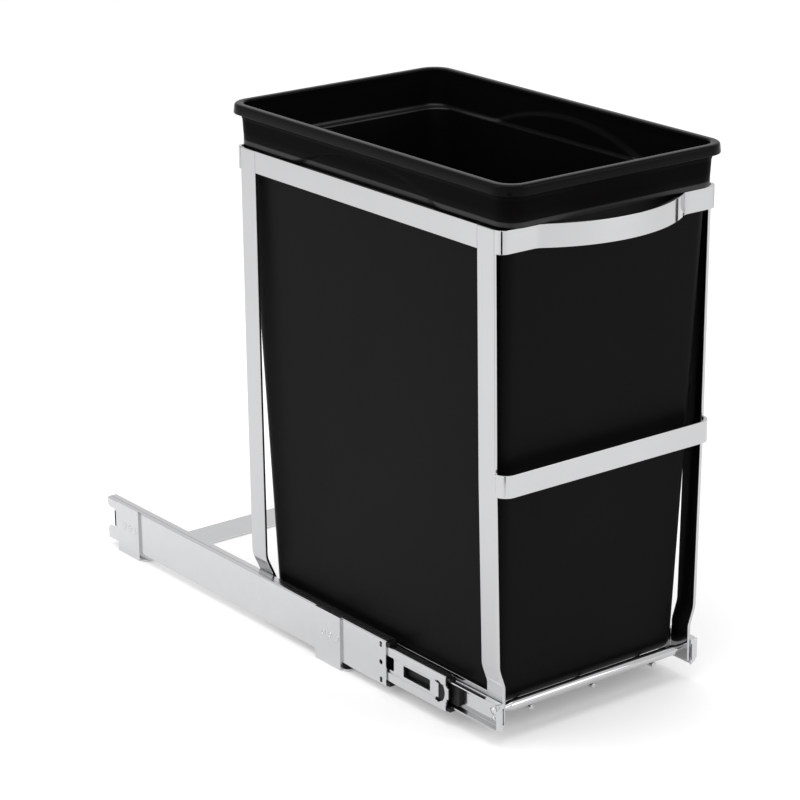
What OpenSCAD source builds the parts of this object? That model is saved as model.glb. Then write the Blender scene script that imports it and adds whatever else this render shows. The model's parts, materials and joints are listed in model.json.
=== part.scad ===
// Pull-out waste bin for the inside of a kitchen cabinet.
// A plastic bucket stands in a steel strip carriage on two telescopic ball slides,
// and two cross bars hold the slides to the cabinet floor.
// Millimetres, +Z up, -Y out of the cabinet. The origin is the middle of the four
// floor screws, on the underside of the cross bars.

/* [Cross bars] */
// Distance between the screw rows, front to back
screw_spacing_y = 334; // [300:1:360]
// Distance between the screws in one bar
screw_spacing_x = 150; // [80:1:180]
// Diameter of a screw hole
screw_d = 5.5; // [3:0.5:8]
// Width of a cross bar, front to back
bar_w = 38.6; // [30:0.2:50]
// Thickness of the cross bars and their tabs
bar_t = 2; // [1.5:0.5:2.5]

/* [Slides] */
// Length of the outer rails
rail_len = 458; // [440:1:480]
// Height of the outer rails
rail_h = 44; // [42:0.5:48]
// Thickness of a closed slide, from the leg to the tab
slide_t = 12.7; // [12.4:0.1:13.5]
// Sheet thickness of the rails
gauge = 1.2; // [1:0.1:1.4]
// Height of the slides' middle line above the floor
slide_z = 28.3; // [26:0.1:32]
// How far the carriage stands out of its closed place
pull_out = 150; // [0:5:300]
// Share of that distance that the middle rails follow
middle_share = 0.55; // [0.5:0.01:0.6]

/* [Carriage] */
// Width over the side frames at the top
frame_w = 236.4; // [234:0.2:238]
// Distance from the front edge to the rear edge of the legs
frame_d = 354.6; // [340:0.2:360]
// Height of the top of the hoop
hoop_z = 455; // [430:1:470]
// Thickness of the steel strip
strip_t = 3; // [2.5:0.5:3]
// Width of the leg strips
leg_w = 21.8; // [18:0.2:26]
// Width of the level strips
band_w = 20; // [16:0.5:24]
// How far the handle bows out of the hoop
handle_bow = 25.6; // [18:0.2:30]
// Width of the bowed stretch where it meets the flat stretches
handle_span = 160; // [130:1:180]
// Diameter of the front and rear rods
rod_d = 9.6; // [8:0.2:10]
// Diameter of the wires under the bucket
wire_d = 5; // [4:0.5:6]

/* [Bucket] */
// Width over the rim
rim_w = 242; // [238:1:244]
// Depth over the rim
rim_d = 395; // [390:1:400]
// Height of the top of the rim above the floor
rim_z = 493; // [485:1:500]
// Height of the rim's lip
lip_h = 9; // [6:0.5:12]
// Wall thickness
wall = 2.5; // [2:0.1:3]
// Width of the body at the bottom
foot_w = 206; // [180:1:206]
// Depth of the body at the bottom
foot_d = 322; // [280:1:324]

/* [Hidden] */

chrome = "gainsboro";
zinc = "silver";
black = [0.07, 0.07, 0.08];
nylon = [0.12, 0.12, 0.12];
cut = 0.5;          // how far a cutting solid runs past the face that it opens
gap = 0.3;          // running clearance between moving pieces
round_fn = 96;
corner_fn = 32;
arc_n = 24;          // stretches in one drawn arc

// Tabs at the ends of a cross bar
tab_w = 38;
tab_back = 25.75;                     // rear edge of a tab behind the bar's middle
stud_places = [-7.4, 2.8, 13];        // along the tab, from the bar's middle
stud_z = 1;                           // above the slide's middle line
stud_d = 4;
stud_proud = 0.5;                     // stud heads in front of the tab

// Across the slide, from the middle of the bin outwards
foot_x = 107.1;                       // outer face of the legs' feet, back of the inner rail
web_x = foot_x + slide_t;             // outer face of the outer rail's web
middle_x = web_x - gauge - gap;       // outermost face of the middle rail
flange_in_x = web_x - 10;             // tips of the outer and middle rails' flanges
inner_tip_x = foot_x + 7.5;           // tips of the inner rail's flanges
web_step = 1.2;                       // how far the middle rail's web is set back

// Up the slide, as half heights about slide_z
outer_half = rail_h / 2;
middle_half = outer_half - gauge - 4;
inner_half = middle_half - gauge - 3.5;

// Along the slide, with the slide closed
rail_front = -244.6;
end_setback = 18;                     // rear of the moving rails to the rear of the outer rail
notch = 14.4;                         // depth of the notch in the rear of the outer rail's web
middle_len = rail_len - end_setback;
rear_flush = 2.4;                     // the inner rail's front behind the middle rail's
inner_len = middle_len - rear_flush;
middle_front = rail_front;
inner_front = rail_front + rear_flush;
carriage_y = inner_front + 1.2 + frame_d / 2;

// Where each moving body stands
middle_out = middle_share * pull_out;
outer_balls_out = middle_out / 2;
inner_balls_out = (middle_out + pull_out) / 2;

// Ball rows, with the slide closed
outer_row_front = -105;
outer_row_len = 180;
inner_row_front = -124;
inner_row_len = 160;
balls_in_row = 8;
outer_ball_d = 3.4;
inner_ball_d = 2.9;
retainer_t = 1;
outer_track_x = (flange_in_x + web_x - gauge) / 2;
outer_track_half = (outer_half - gauge + middle_half) / 2;
inner_track_x = (flange_in_x + 0.3 + inner_tip_x) / 2;
inner_track_half = (middle_half - gauge + inner_half) / 2;

// Rivets and the levers' pins
rivet_d = 5;
rivet_z = 2;                          // above the slide's middle line
pin_d = 4;

// Release lever, from the carriage's front leg edge
pin_from_edge = 73;
lever_front = 21;
lever_back = 54;                      // the tail runs behind the middle rail's slot

// Front end of the inner rail
end_cut = 6;                          // size of the cut at one outer corner
flange_back = 1.5;                    // the flanges start behind the end plate

// Legs
leg_foot_z = 19.8;
front_knee = [5.2, 71];               // step in from the top, and height
front_ankle_z = 54;
rear_knee = [1, 68.5];
rear_ankle_z = 46;
guard_z = 238;                        // middle of the front guard strip
front_guard_in = 1.7;                 // how far the front legs lean in at the guard strip
rear_guard_in = 0.2;
hoop_out = 8.65;                      // hoop in front of the legs' edges
guard_out = 11.3;                     // guard strip in front of the legs' edges

// Rods and wires
rod_z = 31;
rod_in = 8.3;                         // rod's middle line behind the legs' outer edges
wire_x = 70;
wire_z = rod_z - rod_d / 2 - wire_d / 2;

// Bucket
bucket_foot_z = wire_z + wire_d / 2 + gap;
ledge_z = hoop_z + gap;
lip_out = 6;
top_w = 223;                          // body just under the ledge
top_d = 365;
foot_r = 12;                          // upright corners at the foot and under the ledge
top_r = 11;
edge_r = 13;                          // bottom edge
collar_w = rim_w - 2 * lip_out;
collar_d = rim_d - 2 * lip_out;
recess_w = 206;
recess_h = 22;
recess_r = (recess_w * recess_w / 4 + recess_h * recess_h) / (2 * recess_h);

// ---- helpers ----

// Mirrors a piece that is drawn on the right to the left
module side(left) {
    mirror([left ? 1 : 0, 0, 0]) children();
}

// Moves a piece that is drawn with the slide closed to where it stands
module drawn_out(distance) {
    translate([0, -distance, 0]) children();
}

// Box from its lowest to its highest corner
module block(low, high) {
    translate(low) cube(high - low);
}

// Flat plate in the YZ plane with rounded corners, between two X values
module plate(x0, x1, y0, y1, z0, z1, r) {
    translate([x0, 0, 0]) rotate([90, 0, 90]) linear_extrude(x1 - x0)
        rounded_rect(y0, y1, z0, z1, r);
}

module rounded_rect(x0, x1, y0, y1, r) {
    translate([x0 + r, y0]) square([x1 - x0 - 2 * r, y1 - y0]);
    translate([x0, y0 + r]) square([x1 - x0, y1 - y0 - 2 * r]);
    for (x = [x0 + r, x1 - r], y = [y0 + r, y1 - r])
        translate([x, y]) circle(r, $fn = corner_fn);
}

// Cylinder along X between two X values
module pin_x(x0, x1, y, z, d) {
    translate([x0, y, z]) rotate([0, 90, 0]) cylinder(h = x1 - x0, d = d, $fn = 48);
}

// Strip bent round a vertical axis, from one angle to another
module bend(r, h, a0, a1) {
    rotate([0, 0, a0]) rotate_extrude(angle = a1 - a0, $fn = round_fn)
        translate([r - strip_t, 0]) square([strip_t, h]);
}

// Rounded rectangular block about the Z axis
module slab(w, d, r, z0, z1) {
    translate([0, 0, z0]) linear_extrude(z1 - z0)
        rounded_rect(-w / 2, w / 2, -d / 2, d / 2, r);
}

// Tapered rounded block, from a foot size to a top size
module taper(w0, d0, r0, z0, w1, d1, r1, z1) {
    hull() {
        slab(w0, d0, r0, z0, z0 + 0.1);
        slab(w1, d1, r1, z1 - 0.1, z1);
    }
}

// ---- cross bars ----

// One bar about its screws: floor plate, an upturned tab at each end
module cross_bar() {
    tab_y0 = tab_back - tab_w;
    color(zinc) difference() {
        union() {
            linear_extrude(bar_t)
                rounded_rect(-web_x, web_x, -bar_w / 2, bar_w / 2, 4);
            for (left = [false, true]) side(left) {
                block([web_x - 8, tab_y0, 0], [web_x + bar_t, tab_back, bar_t]);
                plate(web_x, web_x + bar_t, tab_y0, tab_back, 0, slide_z + rail_h / 2 + 0.7, 0.6);
            }
        }
        for (x = [-1, 1])
            translate([x * screw_spacing_x / 2, 0, -cut])
                cylinder(h = bar_t + 2 * cut, d = screw_d, $fn = 48);
        for (left = [false, true]) side(left) stud_row(cut);
    }
}

// Three studs of one tab, about the bar's screws; over lengthens them both ways
module stud_row(over) {
    for (y = stud_places)
        pin_x(web_x - gauge - over, web_x + bar_t + stud_proud + over, y, slide_z + stud_z, stud_d);
}

module front_cross_bar() {
    translate([0, -screw_spacing_y / 2, 0]) cross_bar();
}

module rear_cross_bar() {
    translate([0, screw_spacing_y / 2, 0]) cross_bar();
}

module clinch_studs() {
    color(zinc) for (end = [-1, 1], left = [false, true])
        translate([0, end * screw_spacing_y / 2, 0]) side(left) stud_row(0);
}

// ---- slides ----

// Channel that opens inwards, its web between two X values and two flanges to tip_x
module channel(tip_x, out_x, half, y0, y1) {
    block([out_x - gauge, y0, slide_z - half], [out_x, y1, slide_z + half]);
    for (end = [-1, 1]) {
        z = slide_z + end * (half - gauge / 2);
        block([tip_x, y0, z - gauge / 2], [out_x, y1, z + gauge / 2]);
    }
}

module outer_rail() {
    y1 = rail_front + rail_len;
    color(zinc) difference() {
        channel(flange_in_x, web_x, outer_half, rail_front, y1);
        plate(web_x - gauge - cut, web_x + cut, y1 - notch, y1 + 8, slide_z - 7.5, slide_z + 12.2, 4);
        for (z = [-17, 17])
            block([web_x - gauge - cut, rail_front + 5.5, slide_z + z - 2.5],
                  [web_x + cut, rail_front + 8.9, slide_z + z + 2.5]);
        pin_x(web_x - gauge - cut, web_x + cut, rail_front + 7.2, slide_z, 4.6);
        for (end = [-1, 1])
            translate([0, end * screw_spacing_y / 2, 0]) stud_row(cut);
    }
}

module rear_bumper() {
    y1 = rail_front + rail_len;
    color(nylon) {
        block([flange_in_x + 1, y1 - notch - 3.2, slide_z - outer_half + gauge],
              [web_x - gauge, y1 - notch + 3, slide_z + outer_half - gauge]);
        block([web_x - gauge, y1 - notch + 1.2, slide_z - 6],
              [web_x - 0.3, y1 - notch + 3, slide_z + 10.7]);
    }
}

// Plastic noses that fill the ball gaps at the front of the outer rail
module front_guide() {
    color(nylon) for (end = [-1, 1]) {
        z_out = outer_half - gauge;
        z_in = middle_half + gap;
        zs = end < 0 ? [-z_out, -z_in] : [z_in, z_out];
        block([flange_in_x + 0.5, rail_front - 4, slide_z + zs[0]],
              [web_x - gauge, rail_front + 10, slide_z + zs[1]]);
    }
}

module middle_rail() {
    y0 = middle_front;
    y1 = middle_front + middle_len;
    web_out = middle_x - web_step;
    band = 9;                                   // height of each ball track band
    color(zinc) difference() {
        union() {
            for (end = [-1, 1]) {
                z_out = end * middle_half;
                z_in = end * (middle_half - band);
                z_fl = end * (middle_half - gauge);
                block([middle_x - gauge, y0, slide_z + min(z_out, z_in)],
                      [middle_x, y1, slide_z + max(z_out, z_in)]);
                block([flange_in_x + 0.3, y0, slide_z + min(z_out, z_fl)],
                      [middle_x, y1, slide_z + max(z_out, z_fl)]);
                block([web_out - gauge, y0, slide_z + min(z_in, z_in + end * gauge)],
                      [middle_x, y1, slide_z + max(z_in, z_in + end * gauge)]);
            }
            block([web_out - gauge, y0, slide_z - middle_half + band],
                  [web_out, y1, slide_z + middle_half - band]);
            plate(web_out - gauge, web_out, y0 - 2.3, y0 + 6, slide_z - 4.5, slide_z + 6, 2);
        }
        plate(web_out - gauge - cut, middle_x + cut, y0 + 23, y0 + 60.6,
              slide_z - 5, slide_z + 5.6, 0.8);
        plate(web_out - gauge - cut, middle_x + cut, y0 + 74.3, y0 + 104,
              slide_z - 5, slide_z + 7.6, 2);
        intersection() {
            pin_x(web_out - gauge - cut, middle_x + cut, y0 + 13, slide_z, 21);
            block([web_out - gauge - cut, y0 + 2.4, slide_z - 9.5],
                  [middle_x + cut, y0 + 11.4, slide_z + 9.5]);
        }
        for (end = [-1, 1])
            block([web_out - gauge - cut, y0 + 11, slide_z + end * 8 - 1.5],
                  [middle_x + cut, y0 + 14.5, slide_z + end * 8 + 1.5]);
    }
}

// Plastic stop in the front end of the middle rail
module middle_end_cap() {
    y0 = middle_front;
    web_in = middle_x - web_step - gauge;
    color(nylon) {
        block([inner_tip_x + gap, y0 + 1, slide_z - middle_half + gauge],
              [web_in, y0 + 15, slide_z + middle_half - gauge]);
        for (end = [-1, 1]) {
            zs = end < 0 ? [-middle_half + gauge, -inner_half - gap]
                         : [inner_half + gap, middle_half - gauge];
            plate(flange_in_x + 0.6, inner_tip_x + gap, y0 - 5, y0 + 15,
                  slide_z + zs[0], slide_z + zs[1], 1);
            plate(inner_tip_x + gap, middle_x - gauge - gap, y0 - 5, y0 + 1,
                  slide_z + min(zs[0], zs[1]), slide_z + max(zs[0], zs[1]), 1);
        }
    }
}

// Places along one row of balls
function ball_places(front, len) =
    [for (i = [0 : balls_in_row - 1]) front + (i + 0.5) * len / balls_in_row];

// Two rows of balls, one over and one under the rail
module balls(x, half, d, front, len) {
    color("lightgray") for (y = ball_places(front, len), end = [-1, 1])
        translate([x, y, slide_z + end * half]) sphere(d = d, $fn = 32);
}

// Two flat strips with a hole for each ball
module retainer(x, w, half, d, front, len) {
    color("darkgray") difference() {
        for (end = [-1, 1])
            translate([x - w / 2, front, slide_z + end * half - retainer_t / 2])
                cube([w, len, retainer_t]);
        for (y = ball_places(front, len), end = [-1, 1])
            translate([x, y, slide_z + end * half - d])
                cylinder(h = 2 * d, d = d + 0.1, $fn = 32);
    }
}

module outer_balls() {
    balls(outer_track_x, outer_track_half, outer_ball_d, outer_row_front, outer_row_len);
}

module inner_balls() {
    balls(inner_track_x, inner_track_half, inner_ball_d, inner_row_front, inner_row_len);
}

module outer_retainer() {
    retainer(outer_track_x, 6.4, outer_track_half, outer_ball_d, outer_row_front, outer_row_len);
}

module inner_retainer() {
    retainer(inner_track_x, 4.6, inner_track_half, inner_ball_d, inner_row_front, inner_row_len);
}

// Front end of the inner rail, bent out across the channel. Its outer corner is cut at
// the top (1) or at the bottom (-1)
module inner_rail_end(cut_end) {
    low = -cut_end * inner_half;
    high = cut_end * inner_half;
    translate([0, inner_front + gauge, slide_z]) rotate([90, 0, 0]) linear_extrude(gauge)
        polygon([[foot_x, low], [inner_tip_x, low], [inner_tip_x, high - cut_end * end_cut],
                 [inner_tip_x - end_cut, high], [foot_x, high]]);
}

module inner_rail(cut_end) {
    y0 = inner_front;
    y1 = inner_front + inner_len;
    edge = carriage_y - frame_d / 2;
    color(zinc) difference() {
        union() {
            plate(foot_x, foot_x + gauge, y0, y1, slide_z - inner_half, slide_z + inner_half, 3);
            for (end = [-1, 1]) {
                z = slide_z + end * (inner_half - gauge / 2);
                block([foot_x, y0 + flange_back, z - gauge / 2], [inner_tip_x, y1, z + gauge / 2]);
            }
            inner_rail_end(cut_end);
        }
        for (y = rivet_places()) pin_x(foot_x - cut, foot_x + gauge + cut, y, slide_z + rivet_z, rivet_d);
        pin_x(foot_x - cut, foot_x + gauge + cut, edge + pin_from_edge, slide_z, pin_d);
    }
}

function rivet_places() =
    [carriage_y - frame_d / 2 + leg_w / 2, carriage_y + frame_d / 2 - leg_w / 2];

// Rivets through the legs' feet and the inner rails
module rail_rivets() {
    color(zinc) for (left = [false, true], y = rivet_places()) side(left) {
        pin_x(foot_x - strip_t, foot_x + gauge, y, slide_z + rivet_z, rivet_d);
        translate([foot_x + gauge, y, slide_z + rivet_z]) rotate([0, 90, 0])
            cylinder(h = 1.4, d1 = 8, d2 = rivet_d, $fn = 48);
    }
}

module lever_pins() {
    y = carriage_y - frame_d / 2 + pin_from_edge;
    color(zinc) for (left = [false, true]) side(left) {
        pin_x(foot_x, foot_x + 5.8, y, slide_z, pin_d);
        pin_x(foot_x + 5.8, foot_x + 6.6, y, slide_z, 6.5);
    }
}

module release_lever() {
    y = carriage_y - frame_d / 2 + pin_from_edge;
    x0 = foot_x + gauge + gap;
    x1 = foot_x + 5.5;
    color(nylon) difference() {
        union() {
            plate(x0, x1, y - lever_front, y - 8, slide_z - 9.2, slide_z + 9.2, 2.5);
            plate(x0, x1, y - 12, y + lever_back, slide_z - 6, slide_z + 6, 2);
        }
        pin_x(x0 - cut, x1 + cut, y, slide_z, 4.6);
    }
}

// ---- carriage ----

// Leg on the right: a flat strip that leans in, steps in at the ankle and ends in a foot
module leg(y0, guard_in, knee, ankle_z) {
    top_x = frame_w / 2;
    path = [
        [top_x, hoop_z], [top_x - guard_in, guard_z], [top_x - knee[0], knee[1]],
        [foot_x, ankle_z], [foot_x, leg_foot_z]
    ];
    inner = [for (i = [len(path) - 1 : -1 : 0]) [path[i][0] - strip_t, path[i][1]]];
    color(chrome) difference() {
        translate([0, y0 + leg_w, 0]) rotate([90, 0, 0]) linear_extrude(leg_w)
            polygon(concat(path, inner));
        for (y = rivet_places())
            pin_x(foot_x - strip_t - cut, foot_x + cut, y - carriage_y, slide_z + rivet_z, rivet_d);
    }
}

module front_leg() {
    translate([0, carriage_y, 0]) leg(-frame_d / 2, front_guard_in, front_knee, front_ankle_z);
}

module rear_leg() {
    translate([0, carriage_y, 0]) leg(frame_d / 2 - leg_w, rear_guard_in, rear_knee, rear_ankle_z);
}

module top_strip() {
    len = frame_d - 2 * leg_w;
    color(chrome) translate([frame_w / 2 - strip_t, carriage_y - len / 2, hoop_z - band_w])
        cube([strip_t, len, band_w]);
}

module bottom_strip() {
    len = frame_d - 2 * leg_w;
    color(chrome) translate([foot_x - strip_t, carriage_y - len / 2, 24.5])
        cube([strip_t, len, band_w]);
}

// Half of the flat hoop end: corner at the leg and a flat stretch in to x_in
module hoop_corner(half_w, r, x_in) {
    translate([half_w - r, r, 0]) bend(r, band_w, 270, 360);
    block([x_in, 0, 0], [half_w - r, strip_t, band_w]);
}

// Points along an arc, from one angle to another
function arc(centre, r, a0, a1) =
    [for (i = [0 : arc_n]) let (a = a0 + (a1 - a0) * i / arc_n) centre + r * [cos(a), sin(a)]];

// The handle seen from above: a bow between two fillets, two flat stretches and two corners
bow_r = handle_bow / 2 + handle_span * handle_span / (8 * handle_bow);
bow_centre_y = bow_r - handle_bow;
fillet_r = 14;
fillet_x = sqrt(pow(bow_r + fillet_r, 2) - pow(bow_centre_y + fillet_r, 2));
bow_angle = asin(fillet_x / (bow_r + fillet_r));

function handle_half(depth) = concat(
    arc([frame_w / 2 - hoop_out, hoop_out], hoop_out - depth, 0, -90),
    arc([fillet_x, -fillet_r], fillet_r + depth, 90, 90 + bow_angle));

function handle_bow_face(depth) =
    let (points = arc([0, bow_centre_y], bow_r - depth, 270 + bow_angle, 270 - bow_angle))
    [for (i = [1 : len(points) - 2]) points[i]];

function handle_face(depth) =
    let (half = handle_half(depth), n = len(half) - 1)
    concat(half, handle_bow_face(depth), [for (i = [0 : n]) [-half[n - i][0], half[n - i][1]]]);

// Front of the hoop, bowed out as the pull handle
module handle_strip() {
    back = handle_face(strip_t);
    n = len(back) - 1;
    color(chrome) translate([0, carriage_y - frame_d / 2 - hoop_out, hoop_z - band_w])
        linear_extrude(band_w) polygon(concat(handle_face(0), [for (i = [0 : n]) back[n - i]]));
}

module rear_hoop_strip() {
    color(chrome) translate([0, carriage_y + frame_d / 2 + hoop_out, hoop_z - band_w])
        for (left = [false, true]) side(left)
            mirror([0, 1, 0]) hoop_corner(frame_w / 2, hoop_out, -cut);
}

module front_guard_strip() {
    color(chrome) translate([0, carriage_y - frame_d / 2 - guard_out, guard_z - band_w / 2])
        for (left = [false, true]) side(left)
            hoop_corner(frame_w / 2 - front_guard_in, guard_out, -cut);
}

module rod(y) {
    color(chrome) pin_x(-foot_x + strip_t, foot_x - strip_t, y, rod_z, rod_d);
}

module front_rod() {
    rod(carriage_y - frame_d / 2 + rod_in);
}

module rear_rod() {
    rod(carriage_y + frame_d / 2 - rod_in);
}

module support_wire(x) {
    len = frame_d - 2 * rod_in + wire_d;
    color(chrome) translate([x, carriage_y + len / 2, wire_z]) rotate([90, 0, 0])
        cylinder(h = len, d = wire_d, $fn = 48);
}

// ---- bucket ----

// Tapered body with a rounded bottom edge, drawn in by inset on every wall
module bucket_body(inset, foot_z) {
    w = foot_w - 2 * inset;
    d = foot_d - 2 * inset;
    hull() {
        for (a = [0 : 22.5 : 90]) {
            step = 2 * edge_r * (1 - sin(a));
            z = foot_z + edge_r * (1 - cos(a));
            slab(w - step, d - step, foot_r, z, z + 0.1);
        }
        slab(top_w - 2 * inset, top_d - 2 * inset, top_r, ledge_z + inset - 0.1, ledge_z + inset);
    }
}

// Outside of the bucket without its lip, drawn in by inset on every wall
module bucket_form(inset, foot_z) {
    bucket_body(inset, foot_z);
    difference() {
        taper(collar_w - 2.4 - 2 * inset, collar_d - 2.4 - 2 * inset, 18, ledge_z + inset - 0.1,
              collar_w - 2 * inset, collar_d - 2 * inset, 18, rim_z);
        for (left = [false, true]) side(left) finger_recess(top_w / 2 - inset, inset);
    }
}

// Arched recess in the right side, from x outwards
module finger_recess(x, inset) {
    intersection() {
        pin_x(x, x + 20, 0, ledge_z + recess_h - recess_r, 2 * (recess_r + inset));
        block([x, -recess_w, ledge_z - 1], [x + 20, recess_w, ledge_z + recess_h + inset + 1]);
    }
}

module waste_bucket() {
    color(black) translate([0, carriage_y, 0]) difference() {
        union() {
            bucket_form(0, bucket_foot_z);
            slab(rim_w, rim_d, 22, rim_z - lip_h, rim_z);
        }
        bucket_form(wall, bucket_foot_z + wall);
        slab(collar_w - 2 * wall, collar_d - 2 * wall, 16, rim_z - 0.2, rim_z + 1);
    }
}

// ---- what is drawn ----

front_cross_bar();
rear_cross_bar();
clinch_studs();
side(true) outer_rail();  // left_outer_rail
side(false) outer_rail();  // right_outer_rail
side(true) rear_bumper();  // left_rear_bumper
side(false) rear_bumper();  // right_rear_bumper
side(true) front_guide();  // left_front_guide
side(false) front_guide();  // right_front_guide
drawn_out(middle_out) side(true) middle_rail();  // left_middle_rail
drawn_out(middle_out) side(false) middle_rail();  // right_middle_rail
drawn_out(middle_out) side(true) middle_end_cap();  // left_middle_end_cap
drawn_out(middle_out) side(false) middle_end_cap();  // right_middle_end_cap
drawn_out(outer_balls_out) side(true) outer_retainer();  // left_outer_retainer
drawn_out(outer_balls_out) side(false) outer_retainer();  // right_outer_retainer
drawn_out(outer_balls_out) side(true) outer_balls();  // left_outer_balls
drawn_out(outer_balls_out) side(false) outer_balls();  // right_outer_balls
drawn_out(inner_balls_out) side(true) inner_retainer();  // left_inner_retainer
drawn_out(inner_balls_out) side(false) inner_retainer();  // right_inner_retainer
drawn_out(inner_balls_out) side(true) inner_balls();  // left_inner_balls
drawn_out(inner_balls_out) side(false) inner_balls();  // right_inner_balls
drawn_out(pull_out) side(true) inner_rail(1);  // left_inner_rail
drawn_out(pull_out) side(false) inner_rail(-1);  // right_inner_rail
drawn_out(pull_out) rail_rivets();
drawn_out(pull_out) lever_pins();
drawn_out(pull_out) side(true) release_lever();  // left_release_lever
drawn_out(pull_out) side(false) release_lever();  // right_release_lever
drawn_out(pull_out) side(true) front_leg();  // left_front_leg
drawn_out(pull_out) side(false) front_leg();  // right_front_leg
drawn_out(pull_out) side(true) rear_leg();  // left_rear_leg
drawn_out(pull_out) side(false) rear_leg();  // right_rear_leg
drawn_out(pull_out) side(true) top_strip();  // left_top_strip
drawn_out(pull_out) side(false) top_strip();  // right_top_strip
drawn_out(pull_out) side(true) bottom_strip();  // left_bottom_strip
drawn_out(pull_out) side(false) bottom_strip();  // right_bottom_strip
drawn_out(pull_out) handle_strip();
drawn_out(pull_out) rear_hoop_strip();
drawn_out(pull_out) front_guard_strip();
drawn_out(pull_out) front_rod();
drawn_out(pull_out) rear_rod();
drawn_out(pull_out) support_wire(-wire_x);  // left_support_wire
drawn_out(pull_out) support_wire(0);  // centre_support_wire
drawn_out(pull_out) support_wire(wire_x);  // right_support_wire
drawn_out(pull_out) waste_bucket();
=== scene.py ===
"""Looks of a pull-out waste bin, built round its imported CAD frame.

Metres, +Z up, -Y out of the cabinet. Pieces of bent sheet are rebuilt with rounded
bends, the bucket is lofted as one thin moulding, and every piece rides on a CAD body.
"""
import json
import math

import bmesh
import bpy
from mathutils import Matrix, Vector


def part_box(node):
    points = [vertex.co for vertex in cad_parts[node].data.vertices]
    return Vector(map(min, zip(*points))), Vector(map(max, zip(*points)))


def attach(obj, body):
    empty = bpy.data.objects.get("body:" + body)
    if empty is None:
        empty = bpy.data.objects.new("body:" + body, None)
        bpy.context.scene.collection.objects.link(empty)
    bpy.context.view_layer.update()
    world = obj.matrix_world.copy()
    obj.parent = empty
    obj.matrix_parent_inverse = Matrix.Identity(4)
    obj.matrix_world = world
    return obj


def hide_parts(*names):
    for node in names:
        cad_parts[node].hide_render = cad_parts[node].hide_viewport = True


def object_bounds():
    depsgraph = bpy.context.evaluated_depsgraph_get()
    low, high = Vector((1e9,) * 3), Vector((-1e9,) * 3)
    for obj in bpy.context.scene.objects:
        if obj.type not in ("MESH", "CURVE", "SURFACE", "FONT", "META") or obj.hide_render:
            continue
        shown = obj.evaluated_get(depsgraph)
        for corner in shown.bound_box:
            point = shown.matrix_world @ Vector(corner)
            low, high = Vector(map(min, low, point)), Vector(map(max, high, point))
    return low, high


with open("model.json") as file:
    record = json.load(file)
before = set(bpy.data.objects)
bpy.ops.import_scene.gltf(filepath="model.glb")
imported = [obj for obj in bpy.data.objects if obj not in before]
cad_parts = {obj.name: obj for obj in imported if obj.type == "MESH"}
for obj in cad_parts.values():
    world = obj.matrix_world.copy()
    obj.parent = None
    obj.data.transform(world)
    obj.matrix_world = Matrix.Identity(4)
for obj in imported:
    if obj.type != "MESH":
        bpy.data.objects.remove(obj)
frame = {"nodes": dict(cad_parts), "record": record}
cad_low, cad_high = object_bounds()

MM = 0.001
SIDES = (("left", -1.0), ("right", 1.0))

# ---- places taken from the frame ----

handle_low, handle_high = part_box("handle_strip")
hoop_z = handle_high.z
front_edge_y = handle_high.y                       # front edges of the front legs
frame_half_w = handle_high.x
rear_hoop_low, rear_hoop_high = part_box("rear_hoop_strip")
rear_edge_y = rear_hoop_low.y
carriage_y = (front_edge_y + rear_edge_y) / 2
foot_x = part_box("right_inner_rail")[0].x           # outer faces of the feet
slide_z = sum(p.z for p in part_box("right_inner_rail")) / 2
web_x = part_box("right_outer_rail")[1].x
bar_t = 2 * MM
strip_t = 3 * MM
gauge = 1.2 * MM


# ---- materials ----

def new_material(name, color, metallic, roughness, specular=0.5):
    mat = bpy.data.materials.new(name)
    mat.use_nodes = True
    shader = mat.node_tree.nodes["Principled BSDF"]
    shader.inputs["Base Color"].default_value = (*color, 1)
    shader.inputs["Metallic"].default_value = metallic
    shader.inputs["Roughness"].default_value = roughness
    shader.inputs["Specular IOR Level"].default_value = specular
    return mat, mat.node_tree, shader


def noise_node(tree, scale, detail=3.0, rough=0.5, stretch=(1, 1, 1)):
    """Noise in the piece's own coordinates, stretched per axis."""
    coords = tree.nodes.new("ShaderNodeTexCoord")
    mapping = tree.nodes.new("ShaderNodeMapping")
    mapping.inputs["Scale"].default_value = stretch
    noise = tree.nodes.new("ShaderNodeTexNoise")
    noise.inputs["Scale"].default_value = scale
    noise.inputs["Detail"].default_value = detail
    noise.inputs["Roughness"].default_value = rough
    tree.links.new(coords.outputs["Object"], mapping.inputs["Vector"])
    tree.links.new(mapping.outputs["Vector"], noise.inputs["Vector"])
    return noise.outputs["Fac"]


def remap(tree, value, from_low, from_high, to_low, to_high):
    node = tree.nodes.new("ShaderNodeMapRange")
    for key, number in zip(("From Min", "From Max", "To Min", "To Max"),
                           (from_low, from_high, to_low, to_high)):
        node.inputs[key].default_value = number
    tree.links.new(value, node.inputs["Value"])
    return node.outputs["Result"]


def blend_colors(tree, factor, low, high):
    node = tree.nodes.new("ShaderNodeMix")
    node.data_type = "RGBA"
    node.inputs["A"].default_value = (*low, 1)
    node.inputs["B"].default_value = (*high, 1)
    tree.links.new(factor, node.inputs["Factor"])
    return node.outputs["Result"]


def bump(tree, shader, height, strength, distance):
    node = tree.nodes.new("ShaderNodeBump")
    node.inputs["Strength"].default_value = strength
    node.inputs["Distance"].default_value = distance
    tree.links.new(height, node.inputs["Height"])
    tree.links.new(node.outputs["Normal"], shader.inputs["Normal"])


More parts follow.
